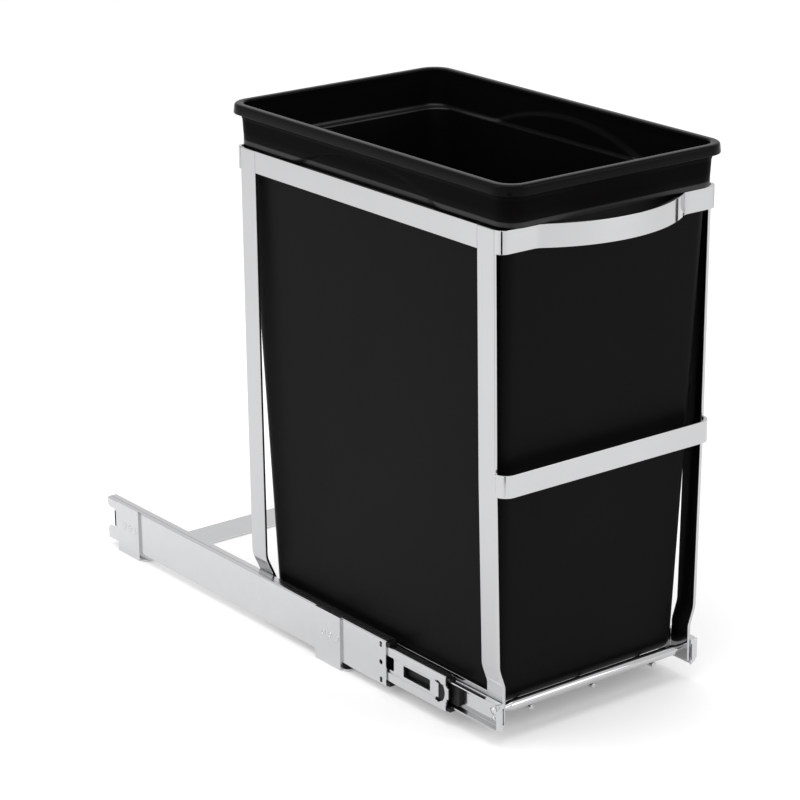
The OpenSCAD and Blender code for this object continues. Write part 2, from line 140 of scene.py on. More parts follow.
def chrome_material():
    """Bright plating: a slow ripple of the strip under it and faint wiping marks."""
    mat, tree, shader = new_material("chrome_plate", (0.5, 0.503, 0.507), 1.0, 0.08)
    wiping = noise_node(tree, 90, 6, 0.65, (1, 1, 0.25))
    tree.links.new(remap(tree, wiping, 0.3, 0.75, 0.05, 0.12), shader.inputs["Roughness"])
    tone = noise_node(tree, 14, 2)
    tree.links.new(blend_colors(tree, tone, (0.485, 0.488, 0.492), (0.525, 0.528, 0.533)),
                   shader.inputs["Base Color"])
    bump(tree, shader, noise_node(tree, 55, 2), 0.15, 0.00003)
    return mat


def zinc_material():
    """Zinc-plated sheet: satin, with rolling lines along the slide and a faint mottle."""
    mat, tree, shader = new_material("zinc_sheet", (0.60, 0.61, 0.62), 1.0, 0.2)
    mottle = noise_node(tree, 90, 4, 0.6)
    tree.links.new(blend_colors(tree, mottle, (0.56, 0.565, 0.572), (0.605, 0.61, 0.615)),
                   shader.inputs["Base Color"])
    lines = noise_node(tree, 700, 3, 0.6, (1, 0.02, 1))
    tree.links.new(remap(tree, lines, 0.3, 0.7, 0.15, 0.25), shader.inputs["Roughness"])
    bump(tree, shader, lines, 0.08, 0.00002)
    return mat


def steel_material(name, color, roughness):
    mat, tree, shader = new_material(name, color, 1.0, roughness)
    marks = noise_node(tree, 400, 3, 0.6)
    tree.links.new(remap(tree, marks, 0.3, 0.7, roughness * 0.8, roughness * 1.3),
                   shader.inputs["Roughness"])
    bump(tree, shader, marks, 0.15, 0.00002)
    return mat


def nylon_material():
    """Black moulded nylon of the slides' small parts."""
    mat, tree, shader = new_material("black_nylon", (0.006, 0.006, 0.0065), 0.0, 0.42, 0.2)
    grain = noise_node(tree, 1500, 3, 0.6)
    tree.links.new(remap(tree, grain, 0.3, 0.7, 0.36, 0.5), shader.inputs["Roughness"])
    bump(tree, shader, grain, 0.3, 0.00005)
    return mat


def bucket_material(rim_low, ledge_low):
    """Black polypropylene: fine moulded texture on the walls, smoother and glossier rim."""
    mat, tree, shader = new_material("bucket_polypropylene", (0.0026, 0.0023, 0.0024), 0.0, 0.4, 0.1)
    coords = tree.nodes.new("ShaderNodeTexCoord")
    parts = tree.nodes.new("ShaderNodeSeparateXYZ")
    tree.links.new(coords.outputs["Object"], parts.inputs["Vector"])
    rim = remap(tree, parts.outputs["Z"], rim_low - 0.001, rim_low + 0.001, 0, 1)
    ledge = tree.nodes.new("ShaderNodeValToRGB")
    height = remap(tree, parts.outputs["Z"], ledge_low, ledge_low + 0.01, 0, 1)
    tree.links.new(height, ledge.inputs["Fac"])
    for place, value in ((0.08, 0), (0.16, 1), (0.45, 1), (0.55, 0)):
        stop = ledge.color_ramp.elements.new(place)
        stop.color = (value, value, value, 1)
    ledge.color_ramp.elements.remove(ledge.color_ramp.elements[-1])
    smooth = tree.nodes.new("ShaderNodeMath")
    smooth.operation = "MAXIMUM"
    tree.links.new(remap(tree, rim, 0, 1, 0, 0.12), smooth.inputs[0])
    tree.links.new(ledge.outputs["Color"], smooth.inputs[1])
    walls_shine = remap(tree, parts.outputs["Z"], ledge_low + 0.001, ledge_low + 0.012, 0.042, 0.012)
    shine = tree.nodes.new("ShaderNodeMath")
    shine.operation = "ADD"
    tree.links.new(walls_shine, shine.inputs[0])
    tree.links.new(remap(tree, smooth.outputs["Value"], 0, 1, 0, 0.36), shine.inputs[1])
    tree.links.new(shine.outputs["Value"], shader.inputs["Specular IOR Level"])
    flow = noise_node(tree, 7, 4, 0.55, (1, 1, 0.35))
    walls = remap(tree, flow, 0.3, 0.7, 0.36, 0.46)
    rough = tree.nodes.new("ShaderNodeMix")
    tree.links.new(rim, rough.inputs["Factor"])
    tree.links.new(walls, rough.inputs["A"])
    rough.inputs["B"].default_value = 0.2
    tree.links.new(rough.outputs["Result"], shader.inputs["Roughness"])
    tone = noise_node(tree, 11, 3)
    tree.links.new(blend_colors(tree, tone, (0.0022, 0.0019, 0.002), (0.0032, 0.0027, 0.0029)),
                   shader.inputs["Base Color"])
    bump(tree, shader, noise_node(tree, 1300, 2, 0.5), 0.35, 0.00006)
    return mat


# ---- mesh building ----

def mesh_piece(name, verts, faces, mat):
    mesh = bpy.data.meshes.new(name)
    mesh.from_pydata([tuple(v) for v in verts], [], faces)
    mesh.validate()
    bm = bmesh.new()
    bm.from_mesh(mesh)
    bmesh.ops.remove_doubles(bm, verts=bm.verts, dist=1e-6)
    bmesh.ops.recalc_face_normals(bm, faces=bm.faces)
    bm.to_mesh(mesh)
    bm.free()
    for polygon in mesh.polygons:
        polygon.use_smooth = True
    piece = bpy.data.objects.new(name, mesh)
    bpy.context.scene.collection.objects.link(piece)
    mesh.materials.append(mat)
    return piece


def bevelled(piece, width, segments=2, angle=35):
    """Rounds a piece's sharp edges and keeps its flat faces flat in the shading."""
    mod = piece.modifiers.new("edges", "BEVEL")
    mod.width = width
    mod.segments = segments
    mod.limit_method = "ANGLE"
    mod.angle_limit = math.radians(angle)
    mod.harden_normals = True
    mod.use_clamp_overlap = True
    return piece


def settle(piece, body, slot, *nodes):
    """Rides the piece on its body in place of the CAD nodes that it stands for."""
    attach(piece, body)
    if nodes:
        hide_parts(*nodes)
    return piece


def arc(centre_x, centre_y, radius, start, end, steps):
    """Points of an arc, angles in degrees."""
    angles = [math.radians(start + (end - start) * i / steps) for i in range(steps + 1)]
    return [Vector((centre_x + radius * math.cos(a), centre_y + radius * math.sin(a)))
            for a in angles]


def filleted(points, radii, steps=6):
    """A polyline with its inner corners rounded."""
    points = [Vector(p) for p in points]
    path = [points[0]]
    for before, here, after, radius in zip(points, points[1:], points[2:], radii):
        to_before = (before - here).normalized()
        to_after = (after - here).normalized()
        half = to_before.angle(to_after) / 2
        if radius <= 0 or half > math.radians(89.5):
            path.append(here)
            continue
        reach = radius / math.tan(half)
        start = here + to_before * reach
        end = here + to_after * reach
        for i in range(steps + 1):
            t = i / steps
            path.append(start.lerp(here, t).lerp(here.lerp(end, t), t))
    path.append(points[-1])
    return path


def sheet_faces(path, thickness, low, high, place):
    """Vertices and faces of a strip of sheet: a path, its thickness and its two edges.

    place turns a point of the path and a height into a point in the row frame.
    """
    verts, faces = [], []
    count = len(path)
    for i, point in enumerate(path):
        before = path[max(i - 1, 0)]
        after = path[min(i + 1, count - 1)]
        back = (point - before).normalized() if i else (after - point).normalized()
        ahead = (after - point).normalized() if i < count - 1 else back
        along = (back + ahead).normalized()
        normal = Vector((-along.y, along.x)) / max(along.dot(ahead), 0.3)
        for side in (-0.5, 0.5):
            for height in (low, high):
                verts.append(place(point + normal * thickness * side, height))
    for i in range(count - 1):
        a, b = 4 * i, 4 * (i + 1)
        faces += [(a, b, b + 1, a + 1), (a + 2, a + 3, b + 3, b + 2),
                  (a, a + 2, b + 2, b), (a + 1, b + 1, b + 3, a + 3)]
    last = 4 * (count - 1)
    faces += [(0, 1, 3, 2), (last, last + 2, last + 3, last + 1)]
    return verts, faces


def flat_strip(name, path, thickness, low, high, mat):
    """Strip bent round vertical bends, seen from above as its path."""
    verts, faces = sheet_faces(path, thickness, low, high, lambda p, h: (p.x, p.y, h))
    return bevelled(mesh_piece(name, verts, faces, mat), 0.45 * MM)


def section_strip(name, path, thickness, low, high, mat, edge=0.8 * MM):
    """Strip whose path lies across the bin, in X and Z, and whose edges run along Y."""
    verts, faces = sheet_faces(path, thickness, low, high, lambda p, h: (p.x, h, p.y))
    return bevelled(mesh_piece(name, verts, faces, mat), edge)


def cut_away(piece, cutters):
    """Takes closed cutter meshes out of a piece, ahead of its edge rounding."""
    for index, cutter in enumerate(cutters):
        mod = piece.modifiers.new(f"cut_{index}", "BOOLEAN")
        mod.operation = "DIFFERENCE"
        mod.solver = "MANIFOLD"
        mod.object = cutter
    order = [m.name for m in piece.modifiers if m.type == "BOOLEAN"]
    for index, name in enumerate(order):
        piece.modifiers.move(piece.modifiers.find(name), index)
    depsgraph = bpy.context.evaluated_depsgraph_get()
    kept = [m for m in piece.modifiers if m.type != "BOOLEAN"]
    for mod in kept:
        mod.show_viewport = False
    depsgraph.update()
    mesh = bpy.data.meshes.new_from_object(piece.evaluated_get(depsgraph))
    for mod in kept:
        mod.show_viewport = True
    for name in order:
        piece.modifiers.remove(piece.modifiers[name])
    piece.data = mesh
    for polygon in mesh.polygons:
        polygon.use_smooth = True
    for cutter in cutters:
        bpy.data.objects.remove(cutter)
    return piece


def prism(outline, low, high, axis, name="cutter"):
    """Closed solid, most often a cutter: an outline pushed along X, Y or Z."""
    def place(p, h):
        return {"X": (h, p[0], p[1]), "Y": (p[0], h, p[1]), "Z": (p[0], p[1], h)}[axis]
    count = len(outline)
    verts = [place(p, low) for p in outline] + [place(p, high) for p in outline]
    faces = [tuple(range(count)), tuple(range(2 * count - 1, count - 1, -1))]
    faces += [(i, (i + 1) % count, (i + 1) % count + count, i + count) for i in range(count)]
    return mesh_piece(name, verts, faces, MATS["zinc"])


def rounded_outline(x0, x1, y0, y1, radius, steps=6):
    corners = ((x1 - radius, y0 + radius, -90), (x1 - radius, y1 - radius, 0),
               (x0 + radius, y1 - radius, 90), (x0 + radius, y0 + radius, 180))
    points = []
    for cx, cy, start in corners:
        points += arc(cx, cy, radius, start, start + 90, steps)
    return points


def turned(profile, places, axis, steps=32):
    """Vertices and faces of turned parts: a profile of (radius, along) at several places."""
    verts, faces = [], []
    turn = Vector((0, 0, 1)).rotation_difference(Vector(axis)).to_matrix()
    for place in places:
        rings = []
        for radius, along in profile:
            first = len(verts)
            if radius < 1e-7:
                verts.append(Vector(place) + turn @ Vector((0, 0, along)))
                rings.append([first] * steps)
                continue
            for i in range(steps):
                a = 2 * math.pi * i / steps
                spot = Vector((radius * math.cos(a), radius * math.sin(a), along))
                verts.append(Vector(place) + turn @ spot)
            rings.append(list(range(first, first + steps)))
        for low, high in zip(rings, rings[1:]):
            for i in range(steps):
                j = (i + 1) % steps
                face = [low[i], low[j], high[j], high[i]]
                face = [v for k, v in enumerate(face) if v not in face[:k]]
                if len(face) > 2:
                    faces.append(tuple(face))
    return verts, faces


MATS = {
    "chrome": chrome_material(),
    "zinc": zinc_material(),
    "nylon": nylon_material(),
    # darker steel for the thin line along each outer rail's top: painted shade of the rolled groove
    "groove_shade": steel_material("painted_groove_shade", (0.3, 0.3, 0.31), 0.3),
    "retainer": steel_material("retainer_steel", (0.42, 0.43, 0.44), 0.35),
    "ball": steel_material("bearing_steel", (0.62, 0.62, 0.63), 0.12),
}


# ---- carriage strips ----

def handle_path(inset):
    """Half of the handle's front, from the leg to the middle, inset towards the bin."""
    corner_r = 8.65 * MM
    span = 160 * MM
    fillet_r = 14 * MM
    flat_y = front_edge_y - corner_r
    bow = flat_y - handle_low.y
    bow_r = bow / 2 + span * span / (8 * bow)
    centre_y = flat_y + bow_r - bow
    fillet_x = math.sqrt((bow_r + fillet_r) ** 2 - (bow_r - bow + fillet_r) ** 2)
    angle = math.degrees(math.asin(fillet_x / (bow_r + fillet_r)))
    path = arc(frame_half_w - corner_r, front_edge_y, corner_r - inset, 0, -90, 12)
    path += arc(fillet_x, flat_y - fillet_r, fillet_r + inset, 90, 90 + angle, 10)
    path += arc(0, centre_y, bow_r - inset, 270 + angle, 270, 28)[1:]
    return path


def mirrored_path(half):
    return half + [Vector((-p.x, p.y)) for p in reversed(half[:-1])]


def corner_strip(name, half_w, edge_y, plane_y, low, high):
    """Strip that wraps from one leg edge round two corners to the other."""
    reach = abs(plane_y - edge_y)
    turn = math.copysign(1, plane_y - edge_y)
    half = arc(half_w - reach, edge_y, reach - strip_t / 2, 0, 90 * turn, 12)
    half.append(Vector((0, plane_y - turn * strip_t / 2)))
    return flat_strip(name, mirrored_path(half), strip_t, low, high, MATS["chrome"])


def build_hoop():
    handle = flat_strip("handle", mirrored_path(handle_path(strip_t / 2)), strip_t,
                        handle_low.z, handle_high.z, MATS["chrome"])
    settle(handle, "carriage", "chrome_strip", "handle_strip")
    rear = corner_strip("rear_hoop", rear_hoop_high.x, rear_edge_y, rear_hoop_high.y,
                        rear_hoop_low.z, rear_hoop_high.z)
    settle(rear, "carriage", "chrome_strip", "rear_hoop_strip")
    low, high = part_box("front_guard_strip")
    guard = corner_strip("front_guard", high.x, front_edge_y, low.y, low.z, high.z)
    settle(guard, "carriage", "chrome_strip", "front_guard_strip")


def build_legs():
    """Legs with soft bends at the knee and ankle."""
    guard_z = 238 * MM                              # where the legs begin to lean in faster
    bend_radii = (0.3, 0.022, 0.016)                # at the guard strip, the knee and the ankle
    # Steps in at the guard strip and the knee, then the heights of the knee and the ankle
    bends = {"front": (1.7 * MM, 5.2 * MM, 71 * MM, 54 * MM),
             "rear": (0.2 * MM, 1.0 * MM, 68.5 * MM, 46 * MM)}
    for side, sign in SIDES:
        for end, (guard_in, knee_in, knee_z, ankle_z) in bends.items():
            node = f"{side}_{end}_leg"
            low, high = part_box(node)
            top = frame_half_w
            points = [(top, hoop_z), (top - guard_in, guard_z), (top - knee_in, knee_z),
                      (foot_x, ankle_z), (foot_x, low.z)]
            path = filleted([(sign * (x - strip_t / 2), z) for x, z in points],
                            bend_radii, 10)
            leg = section_strip(f"{node}_strip", path, strip_t, low.y, high.y, MATS["chrome"])
            settle(leg, "carriage", "chrome_strip", node)


def build_side_strips():
    """Level strips, set in a little from the legs so that the seams show."""
    set_in = 0.3 * MM
    for side, sign in SIDES:
        for node in (f"{side}_top_strip", f"{side}_bottom_strip"):
            low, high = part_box(node)
            x = (low.x + high.x) / 2 - sign * set_in
            path = [Vector((x, low.y + (high.y - low.y) * i / 8)) for i in range(9)]
            strip = flat_strip(f"{node}_bar", path, strip_t, low.z, high.z, MATS["chrome"])
            settle(strip, "carriage", "chrome_strip", node)


build_hoop()
build_legs()
build_side_strips()


# ---- bucket ----

def smoothstep(low, high, value):
    t = min(max((value - low) / (high - low), 0), 1)
    return t * t * (3 - 2 * t)


def rim_loop(half_w, half_d, radius, counts=(34, 84, 10)):
    """Points round a rounded rectangle, the same number at every height."""
    along_x, along_y, in_corner = counts
    points = []
    for turn in range(4):
        w, d = (half_w, half_d) if turn % 2 == 0 else (half_d, half_w)
        steps = along_y if turn % 2 == 0 else along_x
        run = [(w, -d + radius + (2 * d - 2 * radius) * i / steps) for i in range(steps)]
        run += [tuple(p) for p in arc(w - radius, d - radius, radius, 0, 90, in_corner)[:-1]]
        a = math.radians(90 * turn)
        for x, y in run:
            points.append((x * math.cos(a) - y * math.sin(a), x * math.sin(a) + y * math.cos(a)))
    return points


def build_bucket():
    low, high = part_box("waste_bucket")
    middle_y = (low.y + high.y) / 2
    rim_w, rim_d = high.x, (high.y - low.y) / 2
    wall = 2.5 * MM
    foot_z, rim_z = low.z, high.z
    ledge_z = hoop_z + 0.3 * MM
    lip_z = rim_z - 9 * MM
    foot = (103 * MM, 161 * MM, 12 * MM)
    body = (111.5 * MM, 182.5 * MM, 11 * MM)
    collar_low = (rim_w - 7.2 * MM, rim_d - 7.2 * MM, 18 * MM)
    collar = (rim_w - 6 * MM, rim_d - 6 * MM, 18 * MM)
    rim = (rim_w, rim_d, 22 * MM)
    arch_h, arch_half = 22 * MM, 103 * MM
    arch_r = (arch_half ** 2 + arch_h ** 2) / (2 * arch_h)

    def between(a, b, t):
        return tuple(p + (q - p) * t for p, q in zip(a, b))

    def grown(size, by):
        return size[0] + by, size[1] + by, max(size[2] + by, 2 * MM)

    def rounder(size, by):
        return size[0], size[1], size[2] + by

    def wall_size(z):
        return between(foot, body, (z - foot_z) / (ledge_z - foot_z))

    levels = []                                     # (height, size, inset of the recess)

    def level(z, size, inset=0.0):
        levels.append((z, size, inset))

    edge_r = 13 * MM
    ring_z = foot_z + 1.5 * MM
    level(ring_z, grown(foot, -30 * MM))
    level(ring_z, grown(foot, -22 * MM))
    level(foot_z, grown(foot, -20 * MM))
    for i in range(9):
        a = math.radians(90 * i / 8)
        z = foot_z + edge_r * (1 - math.cos(a))
        level(z, grown(wall_size(z), -edge_r * (1 - math.sin(a))))
    for i in range(1, 25):
        z = foot_z + edge_r + (ledge_z - 1.2 * MM - foot_z - edge_r) * i / 24
        level(z, wall_size(z))
    for share, rise in ((0.06, -0.35), (0.22, 0), (0.8, 0), (0.95, 0.35)):
        level(ledge_z + rise * MM, between(body, collar_low, share))
    band_z = lip_z - 5 * MM
    for i in range(23):
        z = ledge_z + 1.2 * MM + (band_z - ledge_z - 1.2 * MM) * i / 22
        size = between(collar_low, collar, (z - ledge_z) / (lip_z - ledge_z))
        level(z, grown(size, -0.5 * MM * smoothstep(0, 8 * MM, z - ledge_z)))
    level(band_z + 0.6 * MM, grown(collar, -0.25 * MM))
    level(lip_z - 0.8 * MM, collar)
    level(lip_z - 0.2 * MM, grown(collar, 0.3 * MM))
    level(lip_z, grown(collar, 1.0 * MM))
    level(lip_z, grown(rim, -0.9 * MM))
    level(lip_z + 0.25 * MM, grown(rim, -0.25 * MM))
    level(lip_z + 0.9 * MM, rim)
    round_r = 2.4 * MM
    level(rim_z - round_r, grown(rim, -0.7 * MM))
    for i in range(1, 7):
        a = math.radians(90 * i / 6)
        level(rim_z - round_r * (1 - math.sin(a)), grown(rim, -0.7 * MM - round_r * (1 - math.cos(a))))
    inner_rim = grown(collar, -wall)
    for i in range(5):
        a = math.radians(90 * i / 4)
        drop = 1.6 * MM
        level(rim_z - drop * (1 - math.cos(a)), grown(inner_rim, drop * (1 - math.sin(a))), wall)
    inner_ledge = ledge_z + wall
    for i in range(1, 25):
        z = rim_z - 1.6 * MM + (inner_ledge + 1.2 * MM - rim_z + 1.6 * MM) * i / 24
        size = between(collar_low, collar, (z - ledge_z) / (lip_z - ledge_z))
        level(z, grown(between(size, collar, max(0, (z - lip_z) / (rim_z - lip_z))), -wall), wall)
    for share, rise in ((0.95, 0.5), (0.8, 0.12), (0.7, 0), (0.25, 0), (0.15, -0.12), (0.03, -0.5)):
        level(inner_ledge + rise * MM, rounder(grown(between(body, collar_low, share), -wall),
                                               (1 - share) * 9 * MM), wall)
    for i in range(21):
        z = inner_ledge - 1.4 * MM + (foot_z + wall + 11 * MM - inner_ledge + 1.4 * MM) * i / 20
        level(z, rounder(grown(wall_size(z), -wall), 9 * MM), wall)
    for i in range(1, 7):
        a = math.radians(90 * i / 6)
        z = foot_z + wall + 11 * MM * (1 - math.sin(a))
        size = grown(wall_size(z), -wall - 11 * MM * (1 - math.cos(a)))
        level(z, rounder(size, 9 * MM), wall)

    verts, faces, rings = [], [], []
    for z, size, inset in levels:
        ring = []
        for x, y in rim_loop(*size):
            if z > ledge_z - 2 * MM and abs(x) > body[0] - inset:
                centre_z = ledge_z + arch_h - arch_r
                inside = arch_r + inset - math.hypot(y, z - centre_z)
                depth = smoothstep(0, 2.4 * MM, inside)
                flat_x = math.copysign(body[0] - inset, x)
                x += (flat_x - x) * depth
            ring.append(len(verts))
            verts.append(Vector((x, y + middle_y, z)))
        rings.append(ring)
    for a, b in zip(rings, rings[1:]):
        for i in range(len(a)):
            j = (i + 1) % len(a)
            faces.append((a[i], a[j], b[j], b[i]))
    faces += [tuple(reversed(rings[0])), tuple(rings[-1])]
    piece = mesh_piece("bucket_moulding", verts, faces, bucket_material(lip_z, ledge_z))
    settle(piece, "bucket", "bucket_plastic", "waste_bucket")


build_bucket()


# ---- slides ----

RAIL_EDGE = 0.25 * MM


def channel_path(tip_x, out_x, half, radius, sign):
    """Middle line of a roll-formed channel that opens inwards."""
    points = [(tip_x, slide_z + half - gauge / 2), (out_x - gauge / 2, slide_z + half - gauge / 2),
              (out_x - gauge / 2, slide_z - half + gauge / 2), (tip_x, slide_z - half + gauge / 2)]
    return filleted([(sign * x, z) for x, z in points], (radius, radius), 6)


def side_cut(outline, sign, x_low, x_high):
    """Cutter through a web, its outline in Y and Z."""
    return prism(outline, min(sign * x_low, sign * x_high), max(sign * x_low, sign * x_high), "X")


def build_outer_rail(side, sign):
    node = f"{side}_outer_rail"
    low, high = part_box(node)
    tip_x = min(abs(low.x), abs(high.x))
    half = (high.z - low.z) / 2
    rail = section_strip(f"{node}_sheet", channel_path(tip_x, web_x, half, 1.6 * MM, sign), gauge,
                         low.y, high.y, MATS["zinc"], RAIL_EDGE)
    through = (web_x - 3 * MM, web_x + 1 * MM)
    notch_y = high.y - 14.4 * MM                    # bottom of the notch at the rear
    mark_front, mark_back = low.y + 5.5 * MM, low.y + 8.9 * MM
    mark_half = 2.5 * MM
    lobe_r, root_r = 4.5 * MM, 3.5 * MM
    notch_low, notch_high = slide_z - 7.5 * MM, slide_z + 12.2 * MM
    notch = [(high.y + 4 * MM, notch_low - lobe_r), (high.y, notch_low - lobe_r)]
    notch += [tuple(p) for p in arc(high.y - lobe_r, notch_low - lobe_r, lobe_r, 0, 90, 8)[1:]]
    notch += [tuple(p) for p in arc(notch_y + root_r, notch_low + root_r, root_r, 270, 180, 8)]
    notch += [tuple(p) for p in arc(notch_y + root_r, notch_high - root_r, root_r, 180, 90, 8)]
    notch += [tuple(p) for p in arc(high.y - lobe_r, notch_high + lobe_r, lobe_r, 270, 360, 8)]
    notch += [(high.y + 4 * MM, notch_high + lobe_r)]
    cutters = [side_cut(notch, sign, *through)]
    for rise in (-17 * MM, 17 * MM):
        z = slide_z + rise
        hole = rounded_outline(mark_front, mark_back, z - mark_half, z + mark_half, 0.5 * MM)
        cutters.append(side_cut(hole, sign, *through))
    mark_r = 2.3 * MM
    mark_y = (mark_front + mark_back) / 2
    round_hole = [tuple(p) for p in arc(mark_y, slide_z, mark_r, 0, 360, 28)[:-1]]
    cutters.append(side_cut(round_hole, sign, *through))
    cut_away(rail, cutters)
    # Thin darker strip just proud of the top flange: painted shade of the rolled groove, given as colour
    # instead of a hollow
    line = [Vector((sign * (web_x - x * MM), high.z - 0.05 * MM)) for x in (3.4, 4.2)]
    groove_shade = section_strip(f"{node}_groove_shade_line", line, 0.12 * MM, low.y + 1 * MM, high.y - 1 * MM,
                           MATS["groove_shade"], 0.02 * MM)
    settle(rail, "base", "zinc_steel", node)
    settle(groove_shade, "base", "zinc_steel")


def build_middle_rail(side, sign):
    node = f"{side}_middle_rail"
    low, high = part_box(node)
    tip_x = min(abs(low.x), abs(high.x))
    out_x = max(abs(low.x), abs(high.x))
    half = (high.z - low.z) / 2
    front = low.y + 2.3 * MM
    band, step = 9 * MM, 1.2 * MM
    mid = gauge / 2
    upper = [(tip_x, half - mid), (out_x - mid, half - mid), (out_x - mid, half - band + mid),
             (out_x - mid - step, half - band - 0.3 * MM)]
    lower = [(x, -z) for x, z in reversed(upper)]
    path = filleted([(sign * x, slide_z + z) for x, z in upper + lower],
                    (1.3 * MM, 0.5 * MM, 0.5 * MM, 0.5 * MM, 0.5 * MM, 1.3 * MM), 5)
    rail = section_strip(f"{node}_sheet", path, gauge, low.y, high.y, MATS["zinc"], RAIL_EDGE)
    through = (out_x - 6 * MM, out_x + 1 * MM)
    cutters = []
    ends = ((slide_z + 6 * MM, slide_z + half + 5 * MM), (slide_z - half - 5 * MM, slide_z - 4.5 * MM))
    for z0, z1 in ends:
        outline = [(low.y - 2 * MM, z0), (front, z0), (front, z1), (low.y - 2 * MM, z1)]
        cutters.append(side_cut(outline, sign, tip_x - 3 * MM, out_x + 1 * MM))
    hole_low = slide_z - 5 * MM
    slot = rounded_outline(front + 23 * MM, front + 60.6 * MM,
                           hole_low, slide_z + 5.6 * MM, 0.8 * MM)
    window = rounded_outline(front + 74.3 * MM, front + 104 * MM,
                             hole_low, slide_z + 7.6 * MM, 2 * MM)
    dee_r, dee_back = 10.5 * MM, 1.6 * MM           # the D's straight side, in front of its centre
    reach = math.degrees(math.acos(dee_back / dee_r))
    dee = [tuple(p) for p in arc(front + 13 * MM, slide_z, dee_r, 180 - reach, 180 + reach, 18)]
    ear = ((11.4, -9.4), (14.4, -9.4), (14.4, -6.6), (11.4, -6.6),
           (11.4, 6.6), (14.4, 6.6), (14.4, 9.4), (11.4, 9.4))
    dee += [(front + y * MM, slide_z + z * MM) for y, z in ear]
    for outline in (slot, window, dee):
        cutters.append(side_cut(outline, sign, *through))
    cut_away(rail, cutters)
    settle(rail, f"{side}_middle", "zinc_steel", node)


def build_inner_rail(side, sign):
    node = f"{side}_inner_rail"
    low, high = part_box(node)
    tip_x = max(abs(low.x), abs(high.x))
    half = (high.z - low.z) / 2
    # The step stays clear of the release lever, which lies 0.3 mm off the web
    band, step, mid = 6 * MM, 0.2 * MM, gauge / 2
    upper = [(tip_x, half - mid), (foot_x + mid + step, half - mid),
             (foot_x + mid + step, half - band), (foot_x + mid, half - band - 1 * MM)]
    lower = [(x, -z) for x, z in reversed(upper)]
    path = filleted([(sign * x, slide_z + z) for x, z in upper + lower],
                    (1.2 * MM, 0.4 * MM, 0.4 * MM, 0.4 * MM, 0.4 * MM, 1.2 * MM), 5)
    rail = section_strip(f"{node}_sheet", path, gauge, low.y, high.y, MATS["zinc"], RAIL_EDGE)
    corner = 4.5 * MM
    cutters = []
    for turn in (-1, 1):
        edge = slide_z + turn * half
        outline = [(low.y - 1 * MM, edge - turn * corner), (low.y, edge - turn * corner),
                   (low.y + corner * 0.3, edge - turn * corner * 0.3), (low.y + corner, edge),
                   (low.y + corner, edge + turn * 1 * MM), (low.y - 1 * MM, edge + turn * 1 * MM)]
        cutters.append(side_cut(outline, sign, foot_x - 1 * MM, tip_x + 1 * MM))
    cut_away(rail, cutters)
    settle(rail, "carriage", "zinc_steel", node)

    # The front end, bent out across the channel. One outer corner is cut: at the top on
    # the left, at the bottom on the right
    turn, cut = -sign, 6 * MM
    outline = [(foot_x, -turn * half), (tip_x, -turn * half), (tip_x, turn * (half - cut)),
               (tip_x - cut, turn * half), (foot_x, turn * half)]
    end = prism([(sign * x, slide_z + z) for x, z in outline], low.y, low.y + gauge, "Y",
                f"{node}_end")
    settle(bevelled(end, RAIL_EDGE, 2, 30), "carriage", "zinc_steel")


def build_rivets():
    """Domed rivets with a flat ring, and a smaller tack under each one."""
    low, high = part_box("rail_rivets")
    z = (low.z + high.z) / 2
    for side, sign in SIDES:
        dome = [(4 * MM, 0), (4 * MM, 0.5 * MM), (3.4 * MM, 0.8 * MM), (2.9 * MM, 0.9 * MM),
                (2.5 * MM, 1.35 * MM), (1.6 * MM, 1.9 * MM), (0, 2.1 * MM)]
        tack = [(2.3 * MM, 0), (2.1 * MM, 0.4 * MM), (1.2 * MM, 0.75 * MM), (0, 0.85 * MM)]
        face = foot_x + gauge - 0.1 * MM
        ys = (low.y + 4 * MM, high.y - 4 * MM)
        verts, faces = turned(dome, [(sign * face, y, z) for y in ys], (sign, 0, 0))
        more, extra = turned(tack, [(sign * (face + 0.2 * MM), y, z - 7.5 * MM) for y in ys], (sign, 0, 0))
        faces += [tuple(i + len(verts) for i in f) for f in extra]
        piece = bevelled(mesh_piece(f"{side}_rivets", verts + more, faces, MATS["zinc"]), 0.1 * MM, 1, 50)
        settle(piece, "carriage", "zinc_steel", *(["rail_rivets"] if side == "left" else []))


def build_studs():
    """Clinched studs: a raised ring with a dished middle on each tab."""
    ring = [(3.3 * MM, -0.2 * MM), (3.1 * MM, 0.3 * MM), (2.5 * MM, 0.5 * MM),
            (2.1 * MM, 0.3 * MM), (1.7 * MM, -0.1 * MM), (0.8 * MM, 0.1 * MM), (0, 0.3 * MM)]
    low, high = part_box("clinch_studs")
    tab_back = 25.75 * MM                           # rear edge of a tab behind the bar's middle
    stud_places = (-7.4, 2.8, 13)                   # millimetres from the bar's middle
    for side, sign in SIDES:
        places = []
        for node in ("front_cross_bar", "rear_cross_bar"):
            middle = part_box(node)[1].y - tab_back
            places += [(sign * (web_x + bar_t), middle + y * MM, (low.z + high.z) / 2)
                       for y in stud_places]
        verts, faces = turned(ring, places, (sign, 0, 0), 24)
        piece = bevelled(mesh_piece(f"{side}_clinches", verts, faces, MATS["zinc"]), 0.08 * MM, 1, 50)
        settle(piece, "base", "zinc_steel", *(["clinch_studs"] if side == "left" else []))


for side, sign in SIDES:
    build_outer_rail(side, sign)
    build_middle_rail(side, sign)
    build_inner_rail(side, sign)
build_rivets()
build_studs()


# ---- rods and wires ----

